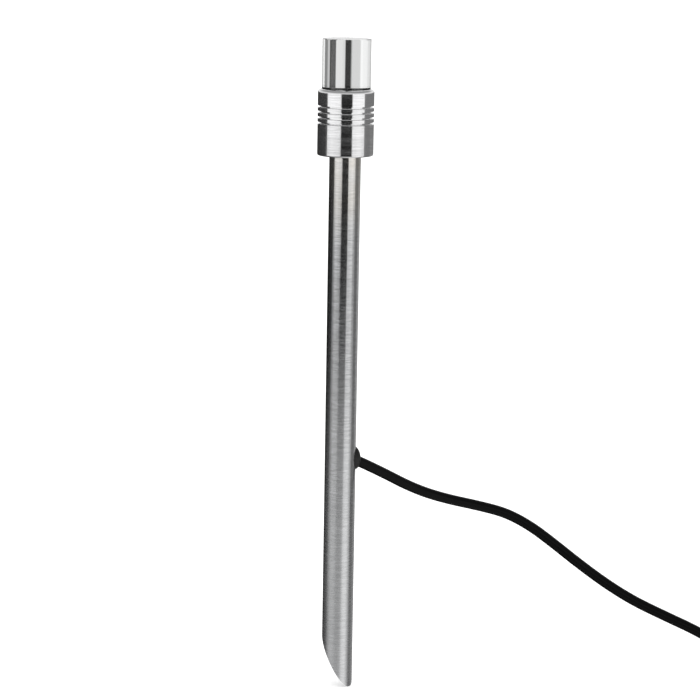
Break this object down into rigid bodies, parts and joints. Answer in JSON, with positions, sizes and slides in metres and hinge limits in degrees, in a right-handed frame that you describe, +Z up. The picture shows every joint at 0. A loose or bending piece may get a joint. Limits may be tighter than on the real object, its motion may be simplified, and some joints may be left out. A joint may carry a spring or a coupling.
{
  "type": "underwater pond light",
  "caption": "Slim pond light: clear light rod in a grooved metal head on a stake tube cut to a point, with a side rubber grommet, a low-voltage lead and a waterproof plug.",
  "frame": {"origin": "on the stake's axis, level with its pointed tip", "axes": "+Z up along the stake's axis towards the light rod; the lead is laid out towards +X"},
  "size_m": [0.4703, 0.0766, 0.4206],
  "materials": {
    "clear_acrylic": "polished clear",
    "turned_steel": "fine turned",
    "tube_steel": "brushed tube",
    "fastener_steel": "plated",
    "seal_rubber": "smooth",
    "cable_rubber": "satin",
    "nylon": "natural",
    "black_plastic": "fine moulded",
    "thermal_silicone": "soft",
    "board_white": "solder mask",
    "board_green": "solder mask",
    "phosphor": "matt",
    "silicone_clear": "clear",
    "reflector": "bright",
    "copper": "tinned copper",
    "can_metal": "sleeved can",
    "ferrite": "sintered",
    "pin_brass": "bright"
  },
  "bodies": {
    "stand": {"head_base": "turned_steel", "collar_seal": "seal_rubber", "tube_seal": "seal_rubber", "thermal_pad": "thermal_silicone", "led_board": "board_white", "led_chip": "phosphor", "led_dome": "silicone_clear", "reflector_cup": "reflector", "board_screws": "fastener_steel", "driver_board": "board_green", "board_spacer": "nylon", "driver_chip": "black_plastic", "capacitor": "can_metal", "inductor": "ferrite", "rectifier": "black_plastic", "led_lead_positive": "copper", "led_lead_negative": "copper", "gland_gasket": "seal_rubber", "gland_body": "nylon", "gland_seal": "seal_rubber", "gland_nut": "nylon", "positive_core": "copper", "negative_core": "copper", "stake_tube": "tube_steel", "inner_cable": "cable_rubber", "cable_stop_tie": "nylon", "cable_grommet": "seal_rubber", "cable_lead": "cable_rubber", "cable_hank": "cable_rubber", "hank_tie": "seal_rubber", "cable_tail": "cable_rubber", "plug_strain_relief": "seal_rubber", "plug_body": "black_plastic", "plug_seal": "seal_rubber", "plug_pins": "pin_brass"},
    "slip_ring": {"thrust_washer": "nylon"},
    "collar": {"lens_collar": "turned_steel", "light_rod": "clear_acrylic", "rod_gasket": "silicone_clear"},
    "plug_nut": {"coupling_nut": "black_plastic"}
  },
  "joints": [
    {"name": "collar_lift", "type": "slide", "parent": "stand", "child": "slip_ring", "axis": [0, 0, 1], "range_m": [0, 0.0101]},
    {"name": "collar_turn", "type": "hinge", "parent": "slip_ring", "child": "collar", "pos_m": [0, 0, 0.37], "axis": [0, 0, 1], "range_deg": [0, 1800]},
    {"name": "coupling_nut_spin", "type": "hinge", "parent": "stand", "child": "plug_nut", "pos_m": [0.3, -0.012, 0.0442], "axis": [-1, 0, 0], "continuous": true}
  ],
  "couplings": [
    {"joint": "collar_lift", "follows": "collar_turn", "m_per_rad": 0.00031831}
  ]
}
